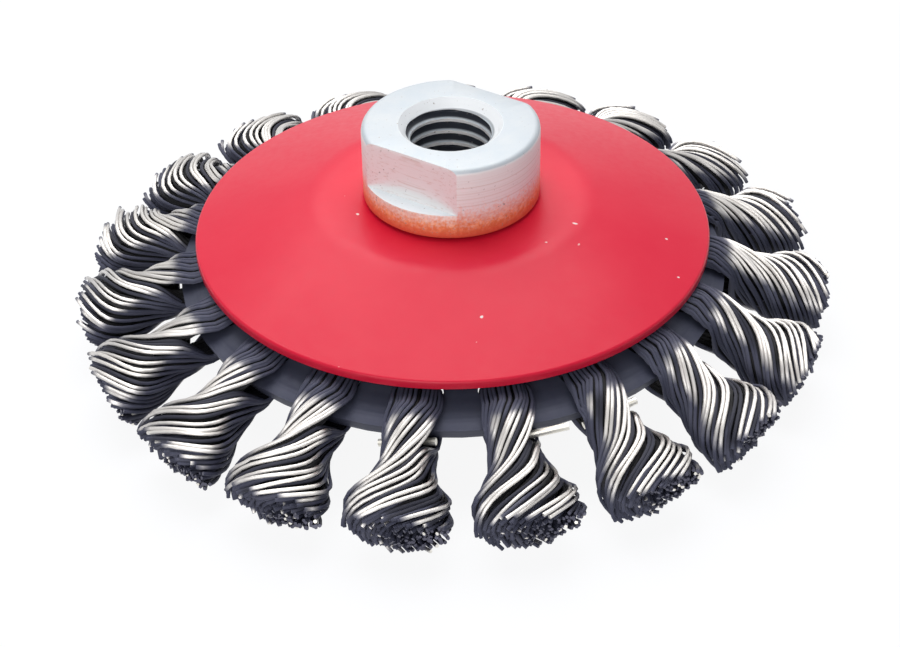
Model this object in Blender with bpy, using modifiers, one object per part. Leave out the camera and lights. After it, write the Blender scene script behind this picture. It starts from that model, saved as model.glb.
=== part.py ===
"""Knotted conical wire brush for an angle grinder, 115 mm across, with an M14 nut.

The nut's collar is riveted through a pressed cover and a pressed plate. Nineteen
bundles of steel wire pass through holes near the plate's edge, fold round its rim
and are twisted into knots that splay into tufts. The brush stands on its tufts
with the nut upward, and its axis is the Z axis.
"""

import math

import bmesh
import bpy
from mathutils import Matrix, Vector

MM = 0.001

# Seating
CLEARANCE = 0.3 * MM            # between pieces that touch or hold each other

# Nut
NUT_DIAMETER = 26.0 * MM
NUT_HEIGHT = 11.4 * MM
NUT_CHAMFER = 0.9 * MM
NUT_BASE_CHAMFER = 0.3 * MM
FLAT_SPACING = 21.0 * MM        # across the two wrench flats
FLAT_HEIGHT = 7.4 * MM          # from the nut's top down to the shoulder
FLAT_TURN = math.radians(-123)  # the way one flat faces
BORE_DIAMETER = 11.84 * MM      # inside the thread's crests
COUNTERSINK_DIAMETER = 15.2 * MM
BORE_BOTTOM_CHAMFER = 0.8 * MM
COLLAR_DIAMETER = 18.0 * MM
RIVET_DIAMETER = 22.0 * MM      # the collar's spread edge under the plate
RIVET_THICKNESS = 1.2 * MM
NUT_STEPS = 40

# Cover
COVER_DIAMETER = 76.4 * MM
COVER_DEPTH = 7.0 * MM          # from its flat middle down to its lip's edge
COVER_THICKNESS = 1.1 * MM
COVER_LIP = 1.2 * MM            # height of the turned-down lip
COVER_FLAT_DIAMETER = 40.0 * MM
COVER_BEND = 9.0 * MM           # radius of the bend round the flat middle
COVER_LIP_BEND = 0.9 * MM
COVER_STEPS = 56

# Plate that carries the knots
PLATE_DIAMETER = 80.8 * MM
PLATE_THICKNESS = 2.0 * MM
PLATE_FLAT_DIAMETER = 36.0 * MM
PLATE_SHOULDER_DIAMETER = 59.0 * MM  # where the plate turns to the knots' slope
PLATE_BEND = 3.0 * MM
PLATE_HOLE_DIAMETER = 7.0 * MM
PLATE_HOLE_EDGE = 2.6 * MM      # metal left between a hole and the rim
PLATE_STEPS = 57

# Knots, with lengths measured along their slope from the plate's rim
KNOT_COUNT = 19
KNOT_SLOPE = math.radians(24)   # how steeply the knots run down and outward
FIRST_KNOT_TURN = math.radians(-98.2)
KNOT_LENGTH = 15.0 * MM
NECK_LENGTH = 4.6 * MM          # to where the knot starts to splay
SPLAY_END = 12.2 * MM           # to where the tuft is widest
FOLD_BULGE = 0.3 * MM           # of the wires past the inner edge of the plate's hole
FOLD_SHARE = 0.5                # width of the fold as a share of the neck's
FOLD_HALF_HEIGHT = 2.8 * MM     # where the wires fold through the hole
NECK_HALF_WIDTH = 4.0 * MM
NECK_HALF_HEIGHT = 4.4 * MM
TUFT_HALF_HEIGHT = 5.6 * MM
TUFT_GAP = 2.2 * MM             # between neighbouring tufts where they are widest
TUFT_TOP_BREADTH = 0.3          # how much more a tuft spreads above than below
TUFT_DOME = 0.5 * MM
TWIST_START = -3.0 * MM         # inward of here the wires lie straight over the plate
NECK_PITCH = 38.0 * MM          # right-handed twist, tighter toward the tips
TIP_PITCH = 27.0 * MM
STRAND_COUNT = 8
STRAND_DEPTH = 0.12             # depth of the grooves as a share of the radius

# Sideways lean of each knot in degrees, counterclockwise seen from above
KNOT_LEAN = (-1, -1, 0, 1, 0, 2, 5, 7, 6, 2, -2, -6, -8, -6, -5, -4, -2, 1, 0)

# Pins through three of the knots, beside the plate's rim
PIN_DIAMETER = 1.1 * MM
PIN_FROM_RIM = 1.3 * MM
PIN_TILT = math.radians(12)     # the counterclockwise end lies higher
PIN_ENDS = {                    # by knot number, how far each end stands out of its sides
    1: (0.8 * MM, -0.6 * MM),
    2: (-0.6 * MM, 3.8 * MM),
    3: (-0.6 * MM, 0.9 * MM),
}
PIN_SIDES = 10

# Surfaces: colour, metallic, roughness
ZINC = ((0.80, 0.82, 0.84, 1), 1.0, 0.30)
RED_ENAMEL = ((0.80, 0.03, 0.06, 1), 0.0, 0.25)
DARK_STEEL = ((0.10, 0.11, 0.13, 1), 1.0, 0.45)
WIRE_STEEL = ((0.55, 0.53, 0.50, 1), 1.0, 0.35)
PIN_STEEL = ((0.75, 0.73, 0.68, 1), 1.0, 0.30)

# Heights below are measured from the flat middle of the cover
NUT_SEAT = CLEARANCE
PLATE_FLAT_HEIGHT = -COVER_THICKNESS - CLEARANCE - PLATE_THICKNESS / 2
RIVET_TOP = PLATE_FLAT_HEIGHT - PLATE_THICKNESS / 2 - CLEARANCE
NUT_BOTTOM = RIVET_TOP - RIVET_THICKNESS
COVER_RADIUS = COVER_DIAMETER / 2
PLATE_RADIUS = PLATE_DIAMETER / 2
COVER_FALL = COVER_DEPTH - COVER_LIP
COVER_SLOPE = math.atan2(COVER_FALL, COVER_RADIUS - COVER_FLAT_DIAMETER / 2)
HOLE_FROM_RIM = PLATE_HOLE_EDGE + PLATE_HOLE_DIAMETER / 2
KNOT_ROOT_LENGTH = PLATE_HOLE_EDGE + PLATE_HOLE_DIAMETER + FOLD_BULGE
FOLD_RADIUS = PLATE_RADIUS - KNOT_ROOT_LENGTH * math.cos(KNOT_SLOPE)
SPLAY_RADIUS = PLATE_RADIUS + SPLAY_END * math.cos(KNOT_SLOPE)
TUFT_HALF_WIDTH = math.pi * SPLAY_RADIUS / KNOT_COUNT - TUFT_GAP / 2


def rim_height_under_cover(radius, half_height):
    """Height of the plate's rim at which a knot just clears the cover at a radius."""
    sheet = COVER_THICKNESS / math.cos(COVER_SLOPE)
    underside = (COVER_RADIUS - radius) * math.tan(COVER_SLOPE) - COVER_FALL - sheet
    if radius >= COVER_RADIUS:
        underside = min(underside, -COVER_DEPTH)
    knot_above_rim = half_height / math.cos(KNOT_SLOPE)
    knot_above_rim += (PLATE_RADIUS - radius) * math.tan(KNOT_SLOPE)
    return underside - CLEARANCE - knot_above_rim


RIM_HEIGHT = min(
    rim_height_under_cover(COVER_RADIUS, NECK_HALF_HEIGHT),
    rim_height_under_cover(FOLD_RADIUS, FOLD_HALF_HEIGHT),
)


def start_empty():
    """Clear the file and make the collections for the parts and the cutters."""
    for item in list(bpy.data.objects):
        bpy.data.objects.remove(item, do_unlink=True)
    collections = []
    for name in ("conical_wire_brush", "cutters"):
        collection = bpy.data.collections.new(name)
        bpy.context.scene.collection.children.link(collection)
        collections.append(collection)
    return collections


def surface(name, look):
    """A plain material of one colour."""
    colour, metallic, roughness = look
    material = bpy.data.materials.new(name)
    material.use_nodes = True
    shader = material.node_tree.nodes["Principled BSDF"]
    shader.inputs["Base Color"].default_value = colour
    shader.inputs["Metallic"].default_value = metallic
    shader.inputs["Roughness"].default_value = roughness
    return material


def add_object(name, mesh, collection, axis, material=None):
    """Put a mesh in the scene under the brush's axis."""
    item = bpy.data.objects.new(name, mesh)
    collection.objects.link(item)
    item.parent = axis
    if material:
        mesh.materials.append(material)
    return item


def make_cutter(item):
    """Mark an object as one that only cuts others."""
    item.hide_render = True
    item.display_type = "WIRE"


def smooth(mesh, sharp_angle):
    """Shade a mesh smooth apart from its sharp edges."""
    mesh.shade_smooth()
    mesh.set_sharp_from_angle(angle=sharp_angle)


def rounded_path(corners, steps=3):
    """Points along a path of (radius, height, fillet) corners, with its bends as arcs."""
    points = []
    last = len(corners) - 1
    for index, (radius, height, fillet) in enumerate(corners):
        corner = Vector((radius, height))
        if index in (0, last) or fillet == 0:
            points.append(corner)
            continue
        before = (Vector(corners[index - 1][:2]) - corner).normalized()
        after = (Vector(corners[index + 1][:2]) - corner).normalized()
        half_angle = before.angle(after) / 2
        reach = fillet / math.tan(half_angle)
        centre = corner + (before + after).normalized() * fillet / math.sin(half_angle)
        first = corner + before * reach - centre
        turn = first.angle_signed(corner + after * reach - centre)
        for step in range(steps + 1):
            swing = Matrix.Rotation(-turn * step / steps, 2)
            points.append(centre + swing @ first)
    return points


def turned_mesh(name, points, steps, closed, thickness=0.0, offset=-1.0):
    """A profile of (radius, height) points turned round the Z axis as a mesh."""
    profile = bpy.data.meshes.new(name + "_profile")
    vertices = [(radius, 0, height) for radius, height in points]
    edges = [(index, index + 1) for index in range(len(points) - 1)]
    if closed:
        edges.append((len(points) - 1, 0))
    profile.from_pydata(vertices, edges, [])
    holder = bpy.data.objects.new(name + "_profile", profile)
    bpy.context.scene.collection.objects.link(holder)
    screw = holder.modifiers.new("turn", "SCREW")
    screw.steps = steps
    screw.render_steps = steps
    screw.use_merge_vertices = True
    screw.merge_threshold = 0.01 * MM
    screw.use_normal_calculate = False
    if thickness:
        shell = holder.modifiers.new("sheet", "SOLIDIFY")
        shell.thickness = thickness
        shell.offset = offset
        shell.use_even_offset = True
    graph = bpy.context.evaluated_depsgraph_get()
    mesh = bpy.data.meshes.new_from_object(holder.evaluated_get(graph))
    mesh.name = name
    bpy.data.objects.remove(holder, do_unlink=True)
    return mesh


def add_cut(item, cutter, name):
    """Cut one object with another."""
    cut = item.modifiers.new(name, "BOOLEAN")
    cut.operation = "DIFFERENCE"
    cut.solver = "EXACT"
    cut.object = cutter


def box_mesh(name, size):
    """A box with its middle at the origin."""
    mesh = bpy.data.meshes.new(name)
    shape = bmesh.new()
    bmesh.ops.create_cube(shape, size=1.0, matrix=Matrix.Diagonal((*size, 1.0)))
    shape.to_mesh(mesh)
    shape.free()
    return mesh


def cylinder_mesh(name, radius, length, sides):
    """A cylinder along Z with its middle at the origin."""
    mesh = bpy.data.meshes.new(name)
    shape = bmesh.new()
    bmesh.ops.create_cone(
        shape, cap_ends=True, segments=sides, radius1=radius, radius2=radius, depth=length
    )
    shape.to_mesh(mesh)
    shape.free()
    return mesh


def build_nut(parts, cutters, axis):
    """Round nut with two wrench flats, and a collar riveted under the plate."""
    outer = NUT_DIAMETER / 2
    collar = COLLAR_DIAMETER / 2
    rivet = RIVET_DIAMETER / 2
    bore = BORE_DIAMETER / 2
    mouth = COUNTERSINK_DIAMETER / 2
    top = NUT_SEAT + NUT_HEIGHT
    profile = [
        (mouth, top),
        (outer - NUT_CHAMFER, top),
        (outer, top - NUT_CHAMFER),
        (outer, NUT_SEAT + NUT_BASE_CHAMFER),
        (outer - NUT_BASE_CHAMFER, NUT_SEAT),
        (collar, NUT_SEAT),
        (collar, RIVET_TOP),
        (rivet, RIVET_TOP),
        (rivet - RIVET_THICKNESS, NUT_BOTTOM),
        (bore + BORE_BOTTOM_CHAMFER, NUT_BOTTOM),
        (bore, NUT_BOTTOM + BORE_BOTTOM_CHAMFER),
        (bore, top - (mouth - bore)),
    ]
    mesh = turned_mesh("threaded_nut", profile, NUT_STEPS, closed=True)
    nut = add_object("threaded_nut", mesh, parts, axis, surface("zinc_plate", ZINC))
    block = box_mesh("flat_cutter", (NUT_DIAMETER, 2 * NUT_DIAMETER, 2 * FLAT_HEIGHT))
    for number in range(2):
        turn = Matrix.Rotation(FLAT_TURN + number * math.pi, 4, "Z")
        out = FLAT_SPACING / 2 + NUT_DIAMETER / 2
        cutter = add_object(f"flat_cutter_{number + 1}", block, cutters, axis)
        cutter.matrix_local = turn @ Matrix.Translation((out, 0, top))
        make_cutter(cutter)
        add_cut(nut, cutter, f"flat_{number + 1}")
    smooth(mesh, math.radians(30))


def build_cover(parts, axis):
    """Red pressed cover: a flat middle, a shallow cone and a turned-down lip."""
    path = rounded_path([
        (COLLAR_DIAMETER / 2 + CLEARANCE, 0, 0),
        (COVER_FLAT_DIAMETER / 2, 0, COVER_BEND),
        (COVER_RADIUS, -COVER_FALL, COVER_LIP_BEND),
        (COVER_RADIUS, -COVER_DEPTH, 0),
    ])
    mesh = turned_mesh("cover", path, COVER_STEPS, closed=False, thickness=COVER_THICKNESS)
    add_object("red_cover", mesh, parts, axis, surface("red_enamel", RED_ENAMEL))
    smooth(mesh, math.radians(40))


def rim_frame(number):
    """Frame at the plate's rim: X outward along the knot, Y along the rim, Z up."""
    turn = FIRST_KNOT_TURN + (number - 1) * 2 * math.pi / KNOT_COUNT
    return (
        Matrix.Rotation(turn, 4, "Z")
        @ Matrix.Translation((PLATE_RADIUS, 0, RIM_HEIGHT))
        @ Matrix.Rotation(KNOT_SLOPE, 4, "Y")
    )


def knot_frame(number):
    """Frame of a knot, which leans sideways about the middle of its hole."""
    lean = math.radians(KNOT_LEAN[(number - 1) % len(KNOT_LEAN)])
    to_hole = Matrix.Translation((-HOLE_FROM_RIM, 0, 0))
    return rim_frame(number) @ to_hole @ Matrix.Rotation(lean, 4, "Z") @ to_hole.inverted()


def plate_mesh(name, growth):
    """The plate's sheet, made larger all round by a growth."""
    shoulder_in = PLATE_RADIUS - PLATE_SHOULDER_DIAMETER / 2
    shoulder_height = RIM_HEIGHT + shoulder_in * math.tan(KNOT_SLOPE)
    path = rounded_path([
        (COLLAR_DIAMETER / 2 + CLEARANCE, PLATE_FLAT_HEIGHT, 0),
        (PLATE_FLAT_DIAMETER / 2, PLATE_FLAT_HEIGHT, PLATE_BEND),
        (PLATE_SHOULDER_DIAMETER / 2, shoulder_height, PLATE_BEND),
        (
            PLATE_RADIUS + growth * math.cos(KNOT_SLOPE),
            RIM_HEIGHT - growth * math.sin(KNOT_SLOPE),
            0,
        ),
    ], steps=1)
    thickness = PLATE_THICKNESS + 2 * growth
    return turned_mesh(name, path, PLATE_STEPS, closed=False, thickness=thickness, offset=0.0)


def plate_with_holes(name, growth, collection, cutters, axis):
    """A plate, or the space a grown one takes, pierced once for each knot."""
    plate = add_object(name, plate_mesh(name, growth), collection, axis)
    plate.rotation_euler.z = FIRST_KNOT_TURN + math.pi / PLATE_STEPS
    radius = PLATE_HOLE_DIAMETER / 2 - growth
    punches = bmesh.new()
    for number in range(1, KNOT_COUNT + 1):
        place = rim_frame(number) @ Matrix.Translation((-HOLE_FROM_RIM, 0, 0))
        bmesh.ops.create_cone(
            punches, cap_ends=True, segments=12, radius1=radius, radius2=radius,
            depth=4 * PLATE_THICKNESS, matrix=place,
        )
    mesh = bpy.data.meshes.new(name + "_punches")
    punches.to_mesh(mesh)
    punches.free()
    cutter = add_object(name + "_punches", mesh, cutters, axis)
    make_cutter(cutter)
    add_cut(plate, cutter, "holes")
    return plate


def eased(start, end, share):
    """A value that swings smoothly from start to end."""
    share = min(max(share, 0.0), 1.0)
    return start + (end - start) * share * share * (3 - 2 * share)


def splay_share(distance):
    """How far a knot has splayed at a distance past the plate's rim, from 0 to 1."""
    return (distance - NECK_LENGTH) / (SPLAY_END - NECK_LENGTH)


def twist_angle(distance):
    """How far the wires have turned at a distance past the plate's rim."""
    tightening = (1 / TIP_PITCH - 1 / NECK_PITCH) / KNOT_LENGTH
    turns = max(distance, TWIST_START) / NECK_PITCH + tightening * max(distance, 0) ** 2 / 2
    return 2 * math.pi * turns


def knot_ring(distance, share):
    """One turned section of the rope, with a ridge and a groove for each strand."""
    splay = splay_share(distance)
    width = eased(NECK_HALF_WIDTH, TUFT_HALF_WIDTH, splay) * share
    height = eased(NECK_HALF_HEIGHT, TUFT_HALF_HEIGHT, splay) * share
    if distance < 0:
        fold_share = 1 + distance / KNOT_ROOT_LENGTH
        height = eased(FOLD_HALF_HEIGHT, NECK_HALF_HEIGHT, fold_share) * share
    breadth = eased(0.0, TUFT_TOP_BREADTH, splay)
    points = []
    sides = 2 * STRAND_COUNT
    for side in range(sides):
        angle = 2 * math.pi * side / sides + twist_angle(distance)
        reach = 1.0 if side % 2 == 0 else 1.0 - STRAND_DEPTH
        across = width * reach * math.cos(angle) * (1 + breadth * math.sin(angle))
        points.append((distance, across, height * reach * math.sin(angle)))
    return points


def knot_mesh():
    """A twisted knot, lofted from its fold inside the plate's hole to its tips."""
    stations = [
        (-KNOT_ROOT_LENGTH, FOLD_SHARE),
        (TWIST_START, 1.0),
        ((TWIST_START + NECK_LENGTH) / 2, 1.0),
        (NECK_LENGTH, 1.0),
        (0.7 * NECK_LENGTH + 0.3 * SPLAY_END, 1.0),
        (0.4 * NECK_LENGTH + 0.6 * SPLAY_END, 1.0),
        (SPLAY_END, 1.0),
        (KNOT_LENGTH, 0.97),
        (KNOT_LENGTH + TUFT_DOME, 0.6),
    ]
    shape = bmesh.new()
    rings = []
    for distance, share in stations:
        ring = knot_ring(distance, share)
        rings.append([shape.verts.new(point) for point in ring])
    sides = 2 * STRAND_COUNT
    for inner, outer in zip(rings, rings[1:]):
        for side in range(sides):
            beside = (side + 1) % sides
            shape.faces.new((inner[side], inner[beside], outer[beside], outer[side]))
    shape.faces.new(reversed(rings[0]))
    shape.faces.new(rings[-1])
    bmesh.ops.recalc_face_normals(shape, faces=shape.faces)
    bmesh.ops.triangulate(shape, faces=shape.faces)
    mesh = bpy.data.meshes.new("twisted_knot")
    shape.to_mesh(mesh)
    shape.free()
    return mesh


def build_knots(parts, axis, plate_space, material):
    """All the knots, each cut clear of the plate that it folds round."""
    mesh = knot_mesh()
    mesh.materials.append(material)
    smooth(mesh, math.radians(60))
    knots = []
    for number in range(1, KNOT_COUNT + 1):
        knot = add_object(f"wire_knot_{number:02d}", mesh, parts, axis)
        knot.matrix_local = knot_frame(number)
        add_cut(knot, plate_space, "clear_of_plate")
        knots.append(knot)
    return knots


def build_pins(parts, cutters, axis, knots):
    """Short pins across three knots, just outside the plate's rim."""
    material = surface("pin_steel", PIN_STEEL)
    hole_body = cylinder_mesh(
        "pin_hole", PIN_DIAMETER / 2 + CLEARANCE, 4 * NECK_HALF_WIDTH, PIN_SIDES
    )
    across = Matrix.Rotation(math.pi / 2, 4, "X")
    tilt = Matrix.Rotation(PIN_TILT, 4, "X")
    for number, (clockwise, counterclockwise) in PIN_ENDS.items():
        length = 2 * NECK_HALF_WIDTH + clockwise + counterclockwise
        middle = (counterclockwise - clockwise) / 2
        name = f"locking_pin_{number:02d}"
        body = cylinder_mesh(name, PIN_DIAMETER / 2, length, PIN_SIDES)
        pin = add_object(name, body, parts, axis, material)
        smooth(body, math.radians(40))
        beside_rim = rim_frame(number) @ Matrix.Translation((PIN_FROM_RIM, 0, 0)) @ tilt
        pin.matrix_local = beside_rim @ Matrix.Translation((0, middle, 0)) @ across
        hole = add_object(f"pin_hole_{number:02d}", hole_body, cutters, axis)
        hole.matrix_local = beside_rim @ across
        make_cutter(hole)
        add_cut(knots[number - 1], hole, "pin_hole")


def stand_on_tufts(axis, knots):
    """Raise the whole brush until its lowest tuft touches the ground plane."""
    lowest = min(
        (knot_frame(number) @ vertex.co).z
        for number, knot in enumerate(knots, start=1)
        for vertex in knot.data.vertices
    )
    axis.location.z = -lowest


def build():
    parts, cutters = start_empty()
    axis = bpy.data.objects.new("brush_axis", None)
    parts.objects.link(axis)
    build_nut(parts, cutters, axis)
    build_cover(parts, axis)
    plate = plate_with_holes("knot_plate", 0.0, parts, cutters, axis)
    plate.data.materials.append(surface("dark_steel", DARK_STEEL))
    smooth(plate.data, math.radians(40))
    plate_space = plate_with_holes("plate_space", CLEARANCE, cutters, cutters, axis)
    make_cutter(plate_space)
    knots = build_knots(parts, axis, plate_space, surface("wire_steel", WIRE_STEEL))
    build_pins(parts, cutters, axis, knots)
    stand_on_tufts(axis, knots)


build()
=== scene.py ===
"""Dressed scene of the knotted conical wire brush: separate wires, a real thread, worn edges and
painted light and shade in the finishes.
"""

import math

import bmesh
import bpy
import numpy as np
from mathutils import Matrix, Vector


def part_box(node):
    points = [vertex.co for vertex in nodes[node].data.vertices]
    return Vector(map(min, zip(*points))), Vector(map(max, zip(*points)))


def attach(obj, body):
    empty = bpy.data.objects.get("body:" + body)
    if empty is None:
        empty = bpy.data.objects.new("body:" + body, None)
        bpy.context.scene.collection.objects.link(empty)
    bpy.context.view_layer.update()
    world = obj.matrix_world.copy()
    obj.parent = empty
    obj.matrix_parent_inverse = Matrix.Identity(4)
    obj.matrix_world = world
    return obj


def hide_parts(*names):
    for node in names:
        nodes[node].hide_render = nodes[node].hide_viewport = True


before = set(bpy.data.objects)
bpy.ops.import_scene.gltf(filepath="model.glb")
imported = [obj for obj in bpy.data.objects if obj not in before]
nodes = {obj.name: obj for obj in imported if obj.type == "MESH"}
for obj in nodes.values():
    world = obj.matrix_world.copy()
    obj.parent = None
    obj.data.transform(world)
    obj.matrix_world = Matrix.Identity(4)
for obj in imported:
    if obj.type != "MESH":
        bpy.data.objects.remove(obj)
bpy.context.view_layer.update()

MM = 0.001

# Heights, all in metres, above the plane that the tufts stand on
NUT_HEIGHT = 11.4 * MM
SEAT_GAP = 0.3 * MM              # between the nut's seat and the cover
LIP_DROP = 7.0 * MM              # from the cover's top to the edge of its lip
RIM_DROP = 13.0959 * MM          # from the cover's top to the plate's rim
NUT_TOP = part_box("threaded_nut")[1][2]
NUT_SEAT = NUT_TOP - NUT_HEIGHT
COVER_TOP = NUT_SEAT - SEAT_GAP
LIP_EDGE = COVER_TOP - LIP_DROP
RIM_HEIGHT = COVER_TOP - RIM_DROP

# Sizes repeated from the model
FLAT_TURN = math.radians(-123)
COVER_RADIUS = 38.2 * MM
PLATE_RADIUS = 40.4 * MM
KNOT_COUNT = 19
KNOT_SLOPE = math.radians(24)
FIRST_KNOT_TURN = math.radians(-98.2)
HOLE_FROM_RIM = 6.1 * MM
HOLE_RADIUS = 3.5 * MM
ROOT_LENGTH = 9.9 * MM
FOLD_HALF_HEIGHT = 2.8 * MM
TWIST_START = -3.0 * MM          # under the cover's lip
STRAND_COUNT = 8
STRAND_DEPTH = 0.12
KNOT_LENGTH = 15.0 * MM
NECK_LENGTH = 4.6 * MM
SPLAY_END = 12.2 * MM
NECK_HALF_WIDTH = 4.0 * MM
NECK_HALF_HEIGHT = 4.4 * MM
TUFT_HALF_WIDTH = 7.42 * MM
TUFT_HALF_HEIGHT = 5.6 * MM
TUFT_TOP_BREADTH = 0.3
TUFT_DOME = 0.5 * MM
FURTHEST_TIP = KNOT_LENGTH + 1.0 * MM
NECK_PITCH = 38.0 * MM
TIP_PITCH = 27.0 * MM
PLATE_HALF = 1.0 * MM
KNOT_LEAN = (-1, -1, 0, 1, 0, 2, 5, 7, 6, 2, -2, -6, -8, -6, -5, -4, -2, 1, 0)

# Wires
WIRE_RADIUS = 0.275 * MM
WIRE_TOUCH = 0.19 * MM           # from the wires to the plate that they lie on
FOLD_RADIUS = HOLE_RADIUS - WIRE_TOUCH - WIRE_RADIUS
FOLD_NARROWING = 0.79            # share of the neck's width that the fold keeps in the hole
RIM_PARTING = -0.5 * MM          # where the wires above and below the plate start to close
PIN_PARTING = 0.3 * MM           # the same in the knots that a locking pin runs through
PINNED_KNOTS = (1, 2, 3)         # the pins have their knots' numbers
CLOSING_LENGTH = 3.5 * MM        # over which they close
WIDENING_LENGTH = 2.5 * MM       # over which the fold widens to the neck
STRAY_TIPS = 0.14                # share of the outer wires whose tips stray
BRIGHT_TIPS = 0.09               # share of the tips that are worn bright; the others are painted blue-grey shade
FILL_START = 7.0 * MM            # where the short wires of the end face start
# Share of the rope's depth, wires, points along each, sides of each, and whether tips stray.
# The last row, with no depth, is the short wires that fill the tuft's end face.
WIRE_LAYERS = (
    (1.00, 30, 29, 6, True),
    (0.85, 26, 21, 5, True),
    (0.70, 22, 17, 5, False),
    (0.54, 17, 17, 5, False),
    (0.38, 12, 15, 5, False),
    (0.20, 6, 15, 5, False),
    (None, 110, 6, 5, False),
)

# Nut
NUT_RADIUS = 13.0 * MM
NUT_CHAMFER = 0.9 * MM
NUT_BASE_CHAMFER = 0.3 * MM
FLAT_DISTANCE = 10.5 * MM        # from the axis
FLAT_DEPTH = 7.4 * MM            # from the top down to the ledge
THREAD_PITCH = 2.0 * MM
CREST_RADIUS = 5.92 * MM
THREAD_DEPTH = 1.08 * MM
MOUTH_RADIUS = 7.6 * MM          # of the 45 degree chamfer at the thread's upper end
LOWER_MOUTH_RADIUS = 6.72 * MM
TOP_FACE_RADIUS = 7.72 * MM      # inner edge of the flat top, beside the mouth
COLLAR_RADIUS = 9.0 * MM         # through the cover and the plate
RIVET_RADIUS = 11.0 * MM         # of the collar's spread foot
RIVET_HEIGHT = 1.2 * MM
WORN_EDGE = 0.12 * MM
NUT_STEPS = 144                  # round the axis
NUT_ROWS = 132                   # along the bore

# Cover
COVER_BORE = 9.3 * MM
COVER_FLAT_RADIUS = 20.0 * MM    # where the flat middle bends down
CONE_DROP = 5.8 * MM
COVER_THICKNESS = 1.1 * MM
FLAT_BEND = 9.0 * MM
LIP_BEND = 0.5 * MM
COVER_STEPS = 224                # round the axis


# Materials

def new_material(name):
    material = bpy.data.materials.new(name)
    material.use_nodes = True
    tree = material.node_tree
    return material, tree, tree.nodes["Principled BSDF"]


def add_node(tree, kind, **values):
    """A new node with values for its inputs or, by other names, for its properties."""
    node = tree.nodes.new(kind)
    for key, value in values.items():
        if key in node.inputs:
            node.inputs[key].default_value = value
        else:
            setattr(node, key, value)
    return node


def noise(tree, vector, scale, detail):
    node = add_node(tree, "ShaderNodeTexNoise", Scale=scale, Detail=detail, Roughness=0.55)
    tree.links.new(vector, node.inputs["Vector"])
    return node.outputs["Fac"]


def remap(tree, value, low, high, out_low=0.0, out_high=1.0):
    node = tree.nodes.new("ShaderNodeMapRange")
    node.inputs["From Min"].default_value = low
    node.inputs["From Max"].default_value = high
    node.inputs["To Min"].default_value = out_low
    node.inputs["To Max"].default_value = out_high
    tree.links.new(value, node.inputs["Value"])
    return node.outputs["Result"]


def blend_colour(tree, factor, first, second):
    """The first colour at a factor of zero and the second at one; either may be a link."""
    node = tree.nodes.new("ShaderNodeMix")
    node.data_type = "RGBA"
    # A mix node's sockets 6 and 7 and its output 2 are those for colours
    for socket, value in ((node.inputs[6], first), (node.inputs[7], second)):
        if isinstance(value, tuple):
            socket.default_value = value
        else:
            tree.links.new(value, socket)
    tree.links.new(factor, node.inputs[0])
    return node.outputs[2]


def maths(tree, operation, first, second=None):
    node = tree.nodes.new("ShaderNodeMath")
    node.operation = operation
    for socket, value in ((node.inputs[0], first), (node.inputs[1], second)):
        if value is None:
            continue
        if isinstance(value, (int, float)):
            socket.default_value = value
        else:
            tree.links.new(value, socket)
    return node.outputs[0]


def bump(tree, height, distance, strength, under=None):
    node = add_node(tree, "ShaderNodeBump", Strength=strength, Distance=distance)
    tree.links.new(height, node.inputs["Height"])
    if under:
        tree.links.new(under, node.inputs["Normal"])
    return node.outputs["Normal"]


def object_position(tree):
    return tree.nodes.new("ShaderNodeTexCoord").outputs["Object"]


def turned_coordinates(tree, position):
    """(radius, height, 0) of a point, so that textures run round the axis as turning marks do."""
    parts = tree.nodes.new("ShaderNodeSeparateXYZ")
    tree.links.new(position, parts.inputs[0])
    square_x = maths(tree, "MULTIPLY", parts.outputs[0], parts.outputs[0])
    square_y = maths(tree, "MULTIPLY", parts.outputs[1], parts.outputs[1])
    radius = maths(tree, "SQRT", maths(tree, "ADD", square_x, square_y))
    joined = tree.nodes.new("ShaderNodeCombineXYZ")
    tree.links.new(radius, joined.inputs[0])
    tree.links.new(parts.outputs[2], joined.inputs[1])
    return joined.outputs[0]


def wire_painted_shade(tree):
    """The wires' painted light and shade, from -1, painted black shade inside the rope, over 0,
    painted blue-grey shade, to 1, the bright steel colour.
    """
    return add_node(tree, "ShaderNodeAttribute", attribute_name="wire_painted_shade").outputs["Fac"]


def wire_material():
    material, tree, shader = new_material("drawn_steel_wire")
    tone_and_shade = wire_painted_shade(tree)
    uv = add_node(tree, "ShaderNodeUVMap", uv_map="along_wire")
    # Streaks are narrow round a wire and long along it
    stretch = add_node(tree, "ShaderNodeMapping", Scale=(9.0, 0.35, 1.0))
    tree.links.new(uv.outputs[0], stretch.inputs[0])
    streak = noise(tree, stretch.outputs[0], 1.0, detail=3)
    # Painted shade runs from black deep in the rope to blue-grey at its sides, and lifts to the
    # light steel colour where the painted light is; the painted-shade parts are also less metallic
    # and rougher
    outside = remap(tree, tone_and_shade, -1.0, 0.0)
    painted_shade = blend_colour(tree, outside, (0.006, 0.006, 0.008, 1), (0.085, 0.090, 0.138, 1))
    painted_light_share = remap(tree, tone_and_shade, 0.0, 1.0)
    tree.links.new(remap(tree, painted_light_share, 0.0, 0.6, 0.35, 1.0), shader.inputs["Metallic"])
    steel = blend_colour(tree, painted_light_share, painted_shade, (0.81, 0.785, 0.755, 1))
    streaked = remap(tree, streak, 0.5, 0.8, 0.0, 0.35)
    colour = blend_colour(tree, streaked, steel, (0.12, 0.12, 0.14, 1))
    tree.links.new(colour, shader.inputs["Base Color"])
    rough = maths(tree, "ADD", remap(tree, streak, 0.3, 0.75, 0.42, 0.52),
                  remap(tree, painted_light_share, 0.0, 0.6, 0.2, 0.0))
    tree.links.new(rough, shader.inputs["Roughness"])
    tree.links.new(bump(tree, streak, 0.02 * MM, 0.4), shader.inputs["Normal"])
    # Drawing marks run along the wire, so its gloss spreads round it
    shader.inputs["Anisotropic"].default_value = 0.85
    tangent = add_node(tree, "ShaderNodeTangent", direction_type="UV_MAP", uv_map="along_wire")
    tree.links.new(tangent.outputs[0], shader.inputs["Tangent"])
    return material


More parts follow.
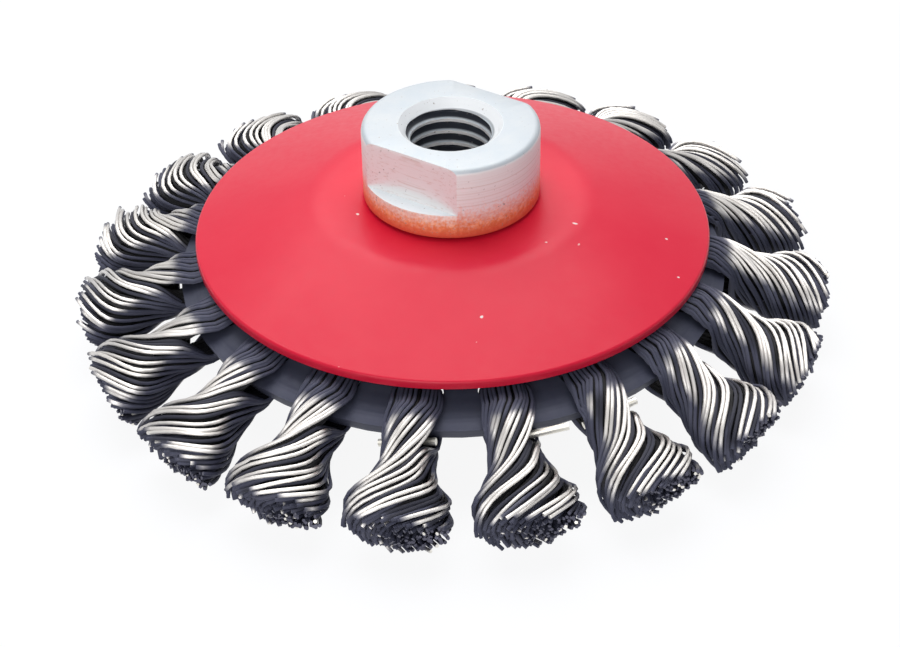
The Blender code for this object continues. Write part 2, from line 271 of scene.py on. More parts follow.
def cut_end_material():
    material, tree, shader = new_material("cut_wire_end")
    grain = noise(tree, object_position(tree), 2500, detail=2)
    tone_and_shade = wire_painted_shade(tree)
    fresh = blend_colour(tree, remap(tree, grain, 0.3, 0.7), (0.95, 0.93, 0.88, 1),
                         (0.70, 0.67, 0.62, 1))
    # Ends that are not left bright are painted blue-grey shade; the others have the fresh steel
    # colour
    bright = remap(tree, tone_and_shade, 0.5, 1.0)
    colour = blend_colour(tree, bright, (0.11, 0.11, 0.155, 1), fresh)
    tree.links.new(remap(tree, bright, 0.0, 1.0, 0.35, 1.0), shader.inputs["Metallic"])
    tree.links.new(colour, shader.inputs["Base Color"])
    shader.inputs["Roughness"].default_value = 0.4
    return material


def enamel_material():
    """Plain red enamel with a few pale specks painted on as glints."""
    material, tree, shader = new_material("red_enamel_gloss")
    position = object_position(tree)
    cloud = noise(tree, position, 90, detail=3)
    fleck = noise(tree, position, 900, detail=2)
    base = blend_colour(tree, remap(tree, cloud, 0.35, 0.68), (0.78, 0.010, 0.047, 1),
                        (0.80, 0.020, 0.056, 1))
    # Painted glints: a few pale specks in the enamel's colour
    painted_glint_noise = noise(tree, position, 420, detail=1)
    painted_glint_mask = remap(tree, painted_glint_noise, 0.785, 0.80)
    colour = blend_colour(tree, painted_glint_mask, base, (0.95, 0.82, 0.80, 1))
    tree.links.new(colour, shader.inputs["Base Color"])
    tree.links.new(remap(tree, fleck, 0.3, 0.7, 0.29, 0.38), shader.inputs["Roughness"])
    shader.inputs["Specular IOR Level"].default_value = 0.25
    peel = noise(tree, position, 650, detail=2)
    tree.links.new(bump(tree, peel, 0.02 * MM, 0.6), shader.inputs["Normal"])
    return material


def zinc_material():
    """Pale zinc with turning marks, painted paler on its sides than on its top, a painted
    orange-brown reflection of the red cover low on its side, painted light on the ledges and the
    mouth's chamfer, and painted shade in the thread's grooves.
    """
    material, tree, shader = new_material("bright_zinc")
    position = object_position(tree)
    turned = turned_coordinates(tree, position)
    parts = tree.nodes.new("ShaderNodeSeparateXYZ")
    tree.links.new(turned, parts.inputs[0])
    radius, height = parts.outputs[0], parts.outputs[1]
    rings = noise(tree, turned, 2600, detail=3)
    grain = noise(tree, position, 2600, detail=3)
    patch = noise(tree, position, 260, detail=4)
    base = blend_colour(tree, remap(tree, patch, 0.35, 0.7), (0.60, 0.66, 0.71, 1),
                        (0.66, 0.70, 0.73, 1))
    normal = tree.nodes.new("ShaderNodeSeparateXYZ")
    tree.links.new(tree.nodes.new("ShaderNodeTexCoord").outputs["Normal"], normal.inputs[0])
    # The sides are painted paler than the top, and the top darker, for how the light falls on them;
    # the sides are also more metallic, and their turning marks are tinted brown
    upright = remap(tree, normal.outputs[2], 0.5, 0.3)
    tree.links.new(remap(tree, upright, 0.0, 1.0, 0.12, 0.25), shader.inputs["Metallic"])
    marks = remap(tree, rings, 0.54, 0.70, 0.0, 0.45)
    painted_side_colour = blend_colour(tree, marks, (0.95, 0.93, 0.92, 1), (0.66, 0.50, 0.43, 1))
    pale = blend_colour(tree, upright, base, painted_side_colour)
    # A painted reflection of the red cover starts about half way down the side and is grainy, and
    # spares the two flats
    point = tree.nodes.new("ShaderNodeSeparateXYZ")
    tree.links.new(position, point.inputs[0])
    across = maths(tree, "ABSOLUTE", maths(
        tree, "ADD", maths(tree, "MULTIPLY", point.outputs[0], math.cos(FLAT_TURN)),
        maths(tree, "MULTIPLY", point.outputs[1], math.sin(FLAT_TURN))))
    on_flat = remap(tree, across, FLAT_DISTANCE - 0.1 * MM, FLAT_DISTANCE - 0.05 * MM)
    ledge_height = NUT_TOP - FLAT_DEPTH
    above_ledge = remap(tree, height, ledge_height - 0.1 * MM, ledge_height + 0.1 * MM)
    off_flat = maths(tree, "SUBTRACT", 1.0, maths(tree, "MULTIPLY", on_flat, above_ledge))
    ragged = maths(tree, "ADD", height, maths(tree, "MULTIPLY", grain, 5.0 * MM))
    low = remap(tree, ragged, NUT_SEAT + 7.8 * MM, NUT_SEAT + 4.2 * MM)
    side = remap(tree, radius, 9.8 * MM, 10.2 * MM)
    low = maths(tree, "MULTIPLY", low, remap(tree, height, NUT_SEAT - 0.2 * MM, NUT_SEAT))
    painted_cover_reflection = maths(tree, "MULTIPLY", maths(tree, "MULTIPLY", low, side),
                 maths(tree, "MULTIPLY", upright, off_flat))
    # The painted reflection is darker and redder at the foot
    foot = remap(tree, height, NUT_SEAT + 2.2 * MM, NUT_SEAT + 0.2 * MM)
    mottle = remap(tree, noise(tree, position, 1500, detail=3), 0.45, 0.62)
    orange = blend_colour(tree, mottle, (0.86, 0.29, 0.11, 1), (1.0, 0.44, 0.20, 1))
    brown = blend_colour(tree, foot, orange, (0.72, 0.11, 0.06, 1))
    base = blend_colour(tree, painted_cover_reflection, pale, brown)
    # The ledges below the flats are painted paler, as painted light where the nut's own shadow
    # falls
    ledge = maths(tree, "MULTIPLY", remap(tree, normal.outputs[2], 0.7, 0.9),
                  remap(tree, height, ledge_height + 2.0 * MM, ledge_height + 1.0 * MM))
    base = blend_colour(tree, maths(tree, "MULTIPLY", ledge, side), base, (0.90, 0.97, 1.0, 1))
    # So is the mouth's chamfer, as painted light, while the thread's grooves are painted dark as
    # painted shade
    mouth = remap(tree, height, NUT_TOP - 1.5 * MM, NUT_TOP - 1.2 * MM)
    inside = remap(tree, radius, 7.68 * MM, 7.58 * MM)
    base = blend_colour(tree, maths(tree, "MULTIPLY", mouth, inside), base, (0.93, 0.96, 0.98, 1))
    in_groove = remap(tree, radius, 6.05 * MM, 6.3 * MM)
    in_bore = remap(tree, radius, 7.3 * MM, 7.1 * MM)
    below_mouth = remap(tree, height, NUT_TOP - 1.2 * MM, NUT_TOP - 1.5 * MM)
    painted_groove_shade = maths(tree, "MULTIPLY", maths(tree, "MULTIPLY", in_groove, in_bore), below_mouth)
    base = blend_colour(tree, painted_groove_shade, base, (0.035, 0.040, 0.055, 1))
    pit = noise(tree, position, 1900, detail=2)
    colour = blend_colour(tree, remap(tree, pit, 0.68, 0.76), base, (0.42, 0.38, 0.36, 1))
    tree.links.new(colour, shader.inputs["Base Color"])
    tree.links.new(remap(tree, grain, 0.3, 0.7, 0.38, 0.52), shader.inputs["Roughness"])
    ringed = bump(tree, rings, 0.03 * MM, 0.6)
    tree.links.new(bump(tree, grain, 0.02 * MM, 0.5, ringed), shader.inputs["Normal"])
    return material


def plate_shade_material():
    material, tree, shader = new_material("plate_painted_shade")
    shader.inputs["Metallic"].default_value = 0.4
    position = object_position(tree)
    patch = noise(tree, position, 300, detail=4)
    turned = turned_coordinates(tree, position)
    rings = noise(tree, turned, 1500, detail=2)
    # The plate's colour is painted blue-grey shade, as dark as the cover's shadow that it lies in
    colour = blend_colour(tree, remap(tree, patch, 0.3, 0.7), (0.045, 0.050, 0.085, 1),
                          (0.060, 0.066, 0.100, 1))
    tree.links.new(colour, shader.inputs["Base Color"])
    tree.links.new(remap(tree, rings, 0.3, 0.7, 0.45, 0.62), shader.inputs["Roughness"])
    tree.links.new(bump(tree, rings, 0.02 * MM, 0.5), shader.inputs["Normal"])
    return material


def pin_material():
    material, tree, shader = new_material("cut_steel_rod")
    shader.inputs["Metallic"].default_value = 0.8
    position = object_position(tree)
    grain = noise(tree, position, 1800, detail=3)
    colour = blend_colour(tree, remap(tree, grain, 0.3, 0.7), (0.95, 0.93, 0.87, 1),
                          (0.80, 0.77, 0.68, 1))
    tree.links.new(colour, shader.inputs["Base Color"])
    tree.links.new(remap(tree, grain, 0.3, 0.7, 0.25, 0.42), shader.inputs["Roughness"])
    tree.links.new(bump(tree, grain, 0.02 * MM, 0.5), shader.inputs["Normal"])
    return material


def set_material(item, material):
    item.data.materials.clear()
    item.data.materials.append(material)


def new_object(name, data):
    item = bpy.data.objects.new(name, data)
    bpy.context.scene.collection.objects.link(item)
    return item


def bake_modifiers(item, sharp_angle):
    """Keep what the modifiers make as the mesh, smooth but for edges sharper than the angle."""
    graph = bpy.context.evaluated_depsgraph_get()
    finished = bpy.data.meshes.new_from_object(item.evaluated_get(graph))
    item.modifiers.clear()
    item.data = finished
    finished.shade_smooth()
    finished.set_sharp_from_angle(angle=sharp_angle)


# Wire knots

def eased(start, end, share):
    """From start at a share of zero to end at one, level at both."""
    share = np.clip(share, 0.0, 1.0)
    return start + (end - start) * share * share * (3 - 2 * share)


def twist_angle(distance):
    """The rope's turn at a distance past the plate's rim; its pitch tightens towards the tip."""
    tightening = (1 / TIP_PITCH - 1 / NECK_PITCH) / KNOT_LENGTH
    along = np.maximum(distance, TWIST_START)
    return 2 * math.pi * (along / NECK_PITCH + tightening * np.maximum(along, 0.0) ** 2 / 2)


def knot_frame(number):
    """The knot's frame: X out along the rope from the plate's rim, Z up from the plate."""
    turn = FIRST_KNOT_TURN + (number - 1) * 2 * math.pi / KNOT_COUNT
    lean = math.radians(KNOT_LEAN[number - 1])
    to_hole = Matrix.Translation((-HOLE_FROM_RIM, 0, 0))
    return (
        Matrix.Rotation(turn, 4, "Z")
        @ Matrix.Translation((PLATE_RADIUS, 0, RIM_HEIGHT))
        @ Matrix.Rotation(KNOT_SLOPE, 4, "Y")
        @ to_hole @ Matrix.Rotation(lean, 4, "Z") @ to_hole.inverted()
    )


def wobble(rng, count, distance, wave, size):
    """Slow sideways wander of each wire, least at the fold and most at the tips."""
    phase = rng.uniform(0, 2 * math.pi, (count, 1))
    length = wave * rng.uniform(0.7, 1.4, (count, 1))
    swell = np.clip(distance / KNOT_LENGTH, 0.0, 1.0)
    sway = np.sin(distance / length * 2 * math.pi + phase)
    return size * rng.normal(0, 1, (count, 1)) * sway * (0.3 + 0.7 * swell)


def splay_share(distance):
    """Zero or less along the neck, and one or more where the tuft has its full size."""
    return (distance - NECK_LENGTH) / (SPLAY_END - NECK_LENGTH)


def rope_half_height(distance):
    """Half the rope's height, which falls towards the fold in the plate's hole."""
    flared = eased(NECK_HALF_HEIGHT, TUFT_HALF_HEIGHT, splay_share(distance))
    folded = eased(FOLD_HALF_HEIGHT, NECK_HALF_HEIGHT, 1 + distance / ROOT_LENGTH)
    return np.where(distance < 0, folded, flared) - WIRE_RADIUS


def wire_paths(rng, angle, share, end, stations, stray, start=None, parting=RIM_PARTING):
    """Points of wires in the knot's frame, each point's turn round the rope and each wire's sink.

    Each wire keeps its place in the rope: an angle round it and a share of its depth. Its sink
    runs from zero on the crest of a strand to one in the groove between two strands. A wire
    without a start folds in the plate's hole, and closes round the rim from parting on.
    """
    count = len(angle)
    sunk = (1 - np.cos(STRAND_COUNT * angle)) / 2
    spread = (share * (1 - STRAND_DEPTH * sunk))[:, None]
    angle = angle[:, None]
    end = end[:, None]
    root = angle + twist_angle(TWIST_START)
    folds = start is None
    if folds:
        # The fold fills the round hole, outer wires at its far side and inner wires at the rim
        beside = FOLD_NARROWING * NECK_HALF_WIDTH * spread * np.cos(root)
        reach = np.sqrt(np.clip(1 - (beside / FOLD_RADIUS) ** 2, 0.05, 1.0))
        start = -HOLE_FROM_RIM + FOLD_RADIUS * (1 - 2 * spread) * reach
    steps = np.append(np.linspace(0.0, 0.975, stations - 1), 1.0)[None, :]
    distance = start + (end - start) * steps
    splay = splay_share(distance)
    width = eased(NECK_HALF_WIDTH, TUFT_HALF_WIDTH, splay) - WIRE_RADIUS
    height = rope_half_height(distance)
    breadth = eased(0.0, TUFT_TOP_BREADTH, splay)
    turned = angle + twist_angle(distance)
    # Wires wander a little round the rope and through its depth
    turned = turned + wobble(rng, count, distance, 9 * MM, 0.03) / np.maximum(spread, 0.3)
    spread = spread + wobble(rng, count, distance, 7 * MM, 0.015)
    if stray:
        chosen = (rng.uniform(0, 1, count) < STRAY_TIPS)[:, None]
        tip = np.clip((distance - 8 * MM) / (7 * MM), 0.0, 1.0) ** 2
        spread = spread + chosen * tip * rng.uniform(-0.06, 0.12, (count, 1))
        turned = turned + chosen * tip * rng.uniform(-0.35, 0.25, (count, 1))
    across = width * spread * np.cos(turned) * (1 + breadth * np.sin(turned))
    up = height * spread * np.sin(turned)
    if not folds:
        return np.stack([distance, across, up], axis=2), turned, sunk
    above = np.where(np.sin(root) >= 0, 1.0, -1.0)
    # Beside the plate the wires lie straight, half above it and half below
    lift = PLATE_HALF + WIRE_TOUCH + WIRE_RADIUS
    parted = eased(0.0, 1.0, 1 - (distance - parting) / CLOSING_LENGTH)
    rest = np.abs(up) * np.clip(1 - lift / height, 0.0, 1.0)
    up = up * (1 - parted) + above * (lift + rest) * parted
    # Inside the hole they fold over to the other side, the outer wires in a wider bend
    fold = np.clip((distance - start) / ((0.5 + 2.0 * share[:, None]) * MM), 0.0, 1.0)
    up = up * np.sqrt(fold * (2 - fold))
    widening = np.clip((distance - start) / WIDENING_LENGTH, 0.0, 1.0)
    across = across * (FOLD_NARROWING + (1 - FOLD_NARROWING) * widening)
    return np.stack([distance, across, up], axis=2), turned, sunk


def tip_distances(rng, share, ragged, count):
    """Where wires end: on the domed end face, more or less."""
    end = KNOT_LENGTH + TUFT_DOME * (1 - share) * 1.5 + rng.normal(0, ragged, count)
    return np.minimum(end, FURTHEST_TIP)


def wire_layer(rng, depth, count, stations, stray, parting):
    """One ring of wires at a share of the rope's depth, all the way from fold to tip."""
    angle = (np.arange(count) + rng.uniform(-0.30, 0.30, count)) / count * 2 * math.pi
    angle = angle + rng.uniform(0, 2 * math.pi)
    share = depth + rng.normal(0, 0.010, count)
    end = tip_distances(rng, depth, 0.35 * MM, count)
    return wire_paths(rng, angle, share, end, stations, stray, parting=parting)


def tuft_fill(rng, count, stations, stray):
    """Short wires that show only at the tuft's end face."""
    angle = rng.uniform(0, 2 * math.pi, count)
    share = np.sqrt(rng.uniform(0.01, 0.92, count))
    end = tip_distances(rng, share, 0.3 * MM, count)
    return wire_paths(rng, angle, share, end, stations, stray, start=FILL_START)


def tube_arrays(paths, sides):
    """Vertices, faces and UVs of wires along the paths, with flat ends."""
    wires, count, _ = paths.shape
    tangent = np.gradient(paths, axis=1)
    tangent /= np.linalg.norm(tangent, axis=2, keepdims=True)
    normal = np.zeros_like(paths)
    first = np.cross(tangent[:, 0], np.array([0.0, 1.0, 0.0]))
    normal[:, 0] = first / np.linalg.norm(first, axis=1, keepdims=True)
    for step in range(1, count):
        # The last ring's normal, made square to the wire again
        carried = normal[:, step - 1]
        ahead = tangent[:, step]
        carried = carried - ahead * np.sum(carried * ahead, axis=1, keepdims=True)
        normal[:, step] = carried / np.linalg.norm(carried, axis=1, keepdims=True)
    side = np.cross(tangent, normal)
    angles = np.arange(sides) / sides * 2 * math.pi
    ring = (normal[:, :, None, :] * np.cos(angles)[None, None, :, None]
            + side[:, :, None, :] * np.sin(angles)[None, None, :, None])
    vertices = (paths[:, :, None, :] + WIRE_RADIUS * ring).reshape(-1, 3)
    wire = np.arange(wires)[:, None, None] * count * sides
    step = np.arange(count - 1)[None, :, None] * sides
    spoke = np.arange(sides)[None, None, :]
    beside = (spoke + 1) % sides
    quads = np.stack([wire + step + spoke, wire + step + beside,
                      wire + step + sides + beside, wire + step + sides + spoke], axis=3)
    ends = []
    for number in range(wires):
        base = number * count * sides
        ends.append(list(range(base + sides - 1, base - 1, -1)))
        last = base + (count - 1) * sides
        ends.append(list(range(last, last + sides)))
    length = np.concatenate([np.zeros((wires, 1)), np.cumsum(
        np.linalg.norm(np.diff(paths, axis=1), axis=2), axis=1)], axis=1)
    uv = np.stack([np.broadcast_to(spoke / sides, (wires, count, sides)),
                   np.broadcast_to(length[:, :, None] / MM, (wires, count, sides))], axis=3)
    # Each wire has its own place in the streaks' noise
    uv = uv.reshape(-1, 2) + np.repeat(np.arange(wires) * 7.31, count * sides)[:, None]
    return vertices, quads.reshape(-1, 4).tolist() + ends, uv


def wire_knot(number, material, end_material):
    """All the wires of one knot as one piece."""
    rng = np.random.default_rng(700 + number)
    parting = PIN_PARTING if number in PINNED_KNOTS else RIM_PARTING
    all_vertices = []
    all_faces = []
    all_uvs = []
    tones_and_shades = []
    offset = 0
    for depth, count, stations, sides, stray in WIRE_LAYERS:
        if depth is None:
            paths, turned, sunk = tuft_fill(rng, count, stations, stray)
        else:
            paths, turned, sunk = wire_layer(rng, depth, count, stations, stray, parting)
        vertices, faces, uv = tube_arrays(paths, sides)
        all_vertices.append(vertices)
        all_faces.extend([[index + offset for index in face] for face in faces])
        all_uvs.append(uv)
        # Each wire is a little brighter or duller than the next
        tone_and_shade = np.repeat(rng.uniform(0.78, 1.0, count)[:, None], stations, axis=1)
        if depth == 1.0:
            # Painted light and shade: the rope is painted light on top, less so underneath, and
            # painted blue-grey shade at its sides and at its root, where the cover's lip shades it.
            # The grooves between its strands get darker painted shade still.
            painted_light_round_rope = (eased(0.0, 1.0, (np.sin(turned) - 0.46) / 0.26)
                      + eased(0.0, 0.6, (-np.sin(turned) - 0.72) / 0.2))
            past_painted_lip_shadow = eased(0.0, 1.0, (paths[:, :, 0] + 1.4 * MM) / (1.8 * MM))
            tone_and_shade = painted_light_round_rope * past_painted_lip_shadow * np.where(sunk > 0.82, -0.7, 1.0)[:, None] * tone_and_shade
        else:
            # Deeper wires are painted black, as shade inside the rope, and painted blue-grey shade
            # where they show near their tips
            tone_and_shade[:] = -1.0
            tone_and_shade[:, -3:] = rng.uniform(-0.25, 0.05, (count, 1))
        # A few tips keep the bright steel colour, worn bright; all other tips are painted blue-grey
        # shade
        tone_and_shade[:, -1] = np.where(rng.uniform(0, 1, count) < BRIGHT_TIPS, 1.0, 0.0)
        tones_and_shades.append(np.repeat(tone_and_shade.ravel(), sides))
        offset += len(vertices)
    vertices = np.concatenate(all_vertices)
    place = np.array(knot_frame(number))
    vertices = vertices @ place[:3, :3].T + place[:3, 3]
    vertices[:, 2] = np.maximum(vertices[:, 2], 0.0)   # the tufts stand on the surface
    mesh = bpy.data.meshes.new(f"wires_{number:02d}")
    mesh.from_pydata(vertices.tolist(), [], all_faces)
    uv_layer = mesh.uv_layers.new(name="along_wire")
    corners = np.zeros(len(mesh.loops), dtype=np.int32)
    mesh.loops.foreach_get("vertex_index", corners)
    uv_layer.data.foreach_set("uv", np.concatenate(all_uvs)[corners].ravel().astype(np.float32))
    tone_and_shade_layer = mesh.attributes.new("wire_painted_shade", "FLOAT", "POINT")
    tone_and_shade_layer.data.foreach_set("value", np.concatenate(tones_and_shades).astype(np.float32))
    mesh.shade_smooth()
    mesh.set_sharp_from_angle(angle=math.radians(80))
    mesh.update()
    item = new_object(f"wire_bundle_{number:02d}", mesh)
    set_material(item, material)
    item.data.materials.append(end_material)
    # Only the cut ends have more than four corners
    corner_counts = np.array([len(face) for face in all_faces])
    mesh.polygons.foreach_set("material_index", (corner_counts > 4).astype(np.int32))
    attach(item, "root")
    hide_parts(f"wire_knot_{number:02d}")


# Nut

def thread_radius(turn, height, bottom):
    """Radius of an M14 x 2 internal thread, with its mouths cut back."""
    # Shares of the pitch: a flat crest, a flank, a flat root and the other flank
    crest, flank, root = 0.25, 0.3125, 0.125
    phase = (height / THREAD_PITCH - turn / (2 * math.pi)) % 1.0
    if phase < crest:
        cut = 0.0
    elif phase < crest + flank:
        cut = (phase - crest) / flank
    elif phase < crest + flank + root:
        cut = 1.0
    else:
        cut = (1.0 - phase) / flank
    radius = CREST_RADIUS + THREAD_DEPTH * cut
    mouth = MOUTH_RADIUS - (NUT_TOP - height)
    lower_mouth = LOWER_MOUTH_RADIUS - (height - bottom)
    return max(radius, mouth, lower_mouth)


def nut_outline(bottom):
    """Radii and heights round the nut's outside, from its top face to the rivet's foot."""
    inner = NUT_RADIUS - NUT_CHAMFER
    corner = [(inner, NUT_TOP)]
    for step in range(1, 5):
        swing = math.radians(90 * step / 4)
        corner.append((inner + NUT_CHAMFER * math.sin(swing),
                       NUT_TOP - NUT_CHAMFER * (1 - math.cos(swing))))
    rivet_top = bottom + RIVET_HEIGHT
    return [
        (TOP_FACE_RADIUS, NUT_TOP), *corner,
        (NUT_RADIUS, NUT_SEAT + NUT_BASE_CHAMFER), (NUT_RADIUS - NUT_BASE_CHAMFER, NUT_SEAT),
        (COLLAR_RADIUS, NUT_SEAT), (COLLAR_RADIUS, rivet_top), (RIVET_RADIUS, rivet_top),
        (RIVET_RADIUS - 0.1 * MM, bottom + 0.7 * MM), (RIVET_RADIUS - 0.6 * MM, bottom + 0.2 * MM),
        (RIVET_RADIUS - 1.2 * MM, bottom),
    ]


def turned_nut():
    """The nut as it comes off the lathe: its bore ring by ring, then its outline."""
    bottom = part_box("threaded_nut")[0][2]
    rings = []
    for row in range(NUT_ROWS + 1):
        height = bottom + (NUT_TOP - bottom) * row / NUT_ROWS
        rings.append([
            (thread_radius(2 * math.pi * step / NUT_STEPS, height, bottom), height)
            for step in range(NUT_STEPS)
        ])
    rings += [[point] * NUT_STEPS for point in nut_outline(bottom)]
    shape = bmesh.new()
    loops = []
    for ring in rings:
        loop = []
        for step, (radius, height) in enumerate(ring):
            turn = 2 * math.pi * step / NUT_STEPS
            loop.append(shape.verts.new((radius * math.cos(turn), radius * math.sin(turn), height)))
        loops.append(loop)
    for index, loop in enumerate(loops):
        after = loops[(index + 1) % len(loops)]
        for step in range(NUT_STEPS):
            beside = (step + 1) % NUT_STEPS
            shape.faces.new((loop[step], loop[beside], after[beside], after[step]))
    bmesh.ops.recalc_face_normals(shape, faces=shape.faces)
    mesh = bpy.data.meshes.new("m14_nut")
    shape.to_mesh(mesh)
    shape.free()
    return new_object("m14_nut", mesh)


def detailed_nut(material):
    """The turned nut with its two wrench flats cut and its edges worn."""
    nut = turned_nut()
    block_size = (2 * NUT_RADIUS, 60 * MM, 2 * FLAT_DEPTH)
    cutters = []
    for side in range(2):
        turn = Matrix.Rotation(FLAT_TURN + side * math.pi, 4, "Z")
        block = bpy.data.meshes.new("flat_block")
        cube = bmesh.new()
        bmesh.ops.create_cube(cube, size=1.0)
        bmesh.ops.scale(cube, vec=block_size, verts=cube.verts)
        cube.to_mesh(block)
        cube.free()
        cutter = new_object(f"flat_block_{side}", block)
        cutter.matrix_world = turn @ Matrix.Translation((FLAT_DISTANCE + NUT_RADIUS, 0, NUT_TOP))
        cutters.append(cutter)
        cut = nut.modifiers.new("flat", "BOOLEAN")
        cut.operation = "DIFFERENCE"
        cut.solver = "EXACT"
        cut.object = cutter
    edge = nut.modifiers.new("worn_edges", "BEVEL")
    edge.width = WORN_EDGE
    edge.segments = 2
    edge.limit_method = "ANGLE"
    edge.angle_limit = math.radians(50)
    bake_modifiers(nut, math.radians(32))
    for cutter in cutters:
        bpy.data.objects.remove(cutter, do_unlink=True)
    set_material(nut, material)
    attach(nut, "root")
    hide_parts("threaded_nut")


# Cover

def arc_points(before, corner, after, radius, steps):
    """Points of the arc that rounds a corner of a profile."""
    corner = Vector(corner)
    back = (Vector(before) - corner).normalized()
    ahead = (Vector(after) - corner).normalized()
    half = back.angle(ahead) / 2
    centre = corner + (back + ahead).normalized() * radius / math.sin(half)
    first = corner + back * radius / math.tan(half) - centre
    turn = first.angle_signed(corner + ahead * radius / math.tan(half) - centre)
    return [centre + Matrix.Rotation(-turn * step / steps, 2) @ first for step in range(steps + 1)]


def smooth_cover(material):
    """The pressed cover on its own profile, with enough steps to shine evenly."""
    bore, bend, lip, edge = (
        (COVER_BORE, 0.0), (COVER_FLAT_RADIUS, 0.0), (COVER_RADIUS, -CONE_DROP),
        (COVER_RADIUS, -LIP_DROP))
    points = [Vector(bore)]
    points += arc_points(bore, bend, lip, FLAT_BEND, 12)
    points += arc_points(bend, lip, edge, LIP_BEND, 8)
    points.append(Vector(edge))
    mesh = bpy.data.meshes.new("cover_profile")
    mesh.from_pydata([(radius, 0, COVER_TOP + height) for radius, height in points],
                     [(index, index + 1) for index in range(len(points) - 1)], [])
    item = new_object("pressed_cover", mesh)
    turn = item.modifiers.new("turn", "SCREW")
    turn.steps = turn.render_steps = COVER_STEPS
    turn.use_merge_vertices = True
    turn.merge_threshold = 0.01 * MM
    turn.use_normal_calculate = False
    sheet = item.modifiers.new("sheet", "SOLIDIFY")
    sheet.thickness = COVER_THICKNESS
    sheet.offset = -1.0
    sheet.use_even_offset = True
    rolled = item.modifiers.new("rolled_edge", "BEVEL")
    rolled.width = 0.2 * MM
    rolled.segments = 2
    rolled.limit_method = "ANGLE"
    rolled.angle_limit = math.radians(60)
    bake_modifiers(item, math.radians(50))
    set_material(item, material)
    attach(item, "root")
    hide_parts("red_cover")


# Stage

def seen_ray(tree):
    """One for rays that show the background: seen directly, in gloss or through glass."""
    path = tree.nodes.new("ShaderNodeLightPath")
    seen = maths(tree, "MAXIMUM", path.outputs["Is Camera Ray"], path.outputs["Is Glossy Ray"])
    return maths(tree, "MAXIMUM", seen, path.outputs["Is Transmission Ray"])


def add_floor():
    """A floor that takes soft shadows and is white where it is seen."""
    mesh = bpy.data.meshes.new("floor")
    half = 3.0
    mesh.from_pydata([(-half, -half, 0), (half, -half, 0), (half, half, 0), (-half, half, 0)],
                     [], [(0, 1, 2, 3)])
    floor = new_object("floor", mesh)
    floor.location.z = -0.05 * MM
    material = bpy.data.materials.new("white_floor")
    material.use_nodes = True
    tree = material.node_tree
    tree.nodes.clear()
    output = tree.nodes.new("ShaderNodeOutputMaterial")
    matte = add_node(tree, "ShaderNodeBsdfDiffuse", Color=(0.10, 0.105, 0.12, 1))
    glow = add_node(tree, "ShaderNodeEmission", Color=(1, 1, 1, 1), Strength=0.91)
    both = tree.nodes.new("ShaderNodeAddShader")
    tree.links.new(matte.outputs[0], both.inputs[0])
    tree.links.new(glow.outputs[0], both.inputs[1])
    choose = tree.nodes.new("ShaderNodeMixShader")
    tree.links.new(seen_ray(tree), choose.inputs[0])
    tree.links.new(matte.outputs[0], choose.inputs[1])
    tree.links.new(both.outputs[0], choose.inputs[2])
    # From below, the floor lets the underside be seen
    under = tree.nodes.new("ShaderNodeMixShader")
    tree.links.new(tree.nodes.new("ShaderNodeNewGeometry").outputs["Backfacing"], under.inputs[0])
    tree.links.new(choose.outputs[0], under.inputs[1])
    tree.links.new(tree.nodes.new("ShaderNodeBsdfTransparent").outputs[0], under.inputs[2])
    tree.links.new(under.outputs[0], output.inputs[0])
    mesh.materials.append(material)


def add_lamp(name, place, aim, size, power, colour):
    lamp = bpy.data.lights.new(name, "AREA")
    lamp.shape = "DISK"
    lamp.size = size
    lamp.energy = power
    lamp.color = colour
    item = new_object(name, lamp)
    item.location = place
    item.rotation_euler = (Vector(aim) - Vector(place)).to_track_quat("-Z", "Y").to_euler()


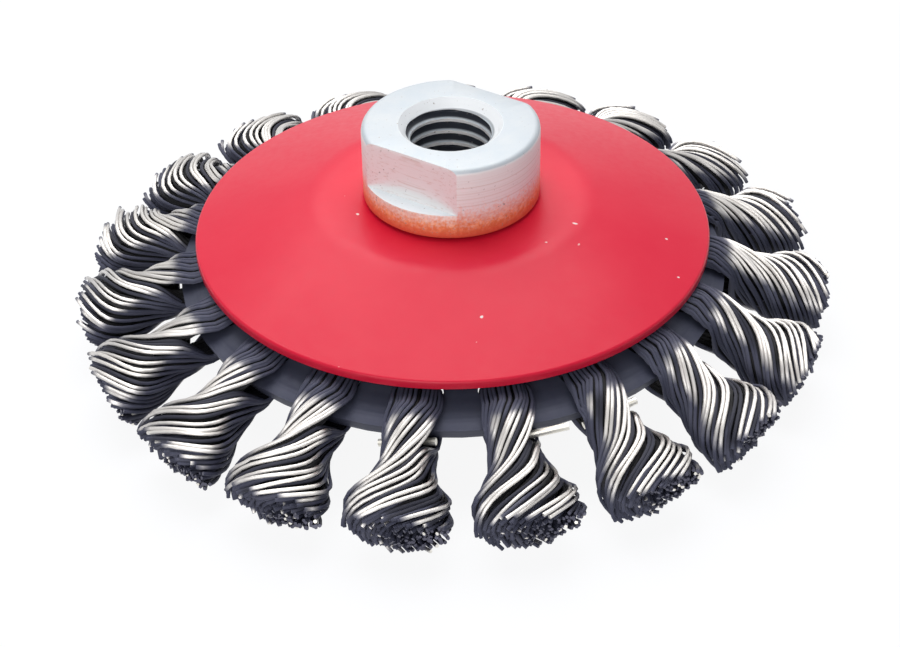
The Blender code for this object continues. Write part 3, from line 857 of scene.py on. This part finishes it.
def add_lights():
    """A key lamp above and behind, a fill in front, a faint backdrop and a dim blue sky."""
    middle = (0, 0, 0.02)
    # Each lamp's place, aim, diameter, power and colour
    add_lamp("key", (-0.07, 0.41, 0.905), middle, 1.15, 10.3, (1.0, 0.975, 0.94))
    add_lamp("fill", (-0.30, -1.05, 0.50), middle, 1.0, 7.0, (1.0, 0.98, 0.96))
    add_lamp("backdrop", (-0.1, 1.35, 0.85), middle, 1.6, 1.2, (0.90, 0.96, 1.0))
    world = bpy.data.worlds.new("studio")
    world.use_nodes = True
    tree = world.node_tree
    back = tree.nodes["Background"]
    back.inputs["Color"].default_value = (0.60, 0.72, 1.0, 1)
    back.inputs["Strength"].default_value = 0.14
    white = add_node(tree, "ShaderNodeBackground", Color=(1, 1, 1, 1), Strength=0.95)
    choose = tree.nodes.new("ShaderNodeMixShader")
    tree.links.new(seen_ray(tree), choose.inputs[0])
    tree.links.new(back.outputs[0], choose.inputs[1])
    tree.links.new(white.outputs[0], choose.inputs[2])
    tree.links.new(choose.outputs[0], tree.nodes["World Output"].inputs[0])
    bpy.context.scene.world = world


def add_camera():
    """The photograph's camera, from the fit of the cover's and the nut's outlines."""
    elevation, distance = 0.5961, 318.4342 * MM      # angles in radians
    yaw, pitch, roll = -0.0023, 0.0436, 0.0182
    place = Vector((0, -math.cos(elevation), math.sin(elevation))) * distance
    tip = -elevation - pitch
    forward = Vector((math.sin(yaw) * math.cos(tip), math.cos(yaw) * math.cos(tip), math.sin(tip)))
    right = forward.cross(Vector((0, 0, 1))).normalized()
    up = right.cross(forward)
    turned_right = right * math.cos(roll) - up * math.sin(roll)
    turned_up = right * math.sin(roll) + up * math.cos(roll)
    camera = bpy.data.cameras.new("camera")
    camera.sensor_width = 36.0
    camera.lens = 85.118
    camera.clip_start = 0.01
    item = new_object("camera", camera)
    matrix = Matrix.Identity(4)
    for row in range(3):
        matrix[row][0] = turned_right[row]
        matrix[row][1] = turned_up[row]
        matrix[row][2] = -forward[row]
        matrix[row][3] = place[row]
    matrix[2][3] += LIP_EDGE
    item.matrix_world = matrix
    bpy.context.scene.camera = item


wires = wire_material()
ends = cut_end_material()
for knot_number in range(1, KNOT_COUNT + 1):
    wire_knot(knot_number, wires, ends)
detailed_nut(zinc_material())
smooth_cover(enamel_material())
set_material(nodes["knot_plate"], plate_shade_material())
rod = pin_material()
for pin_number in PINNED_KNOTS:
    set_material(nodes[f"locking_pin_{pin_number:02d}"], rod)
add_floor()
add_lights()
add_camera()
bpy.context.scene.view_settings.view_transform = "Standard"
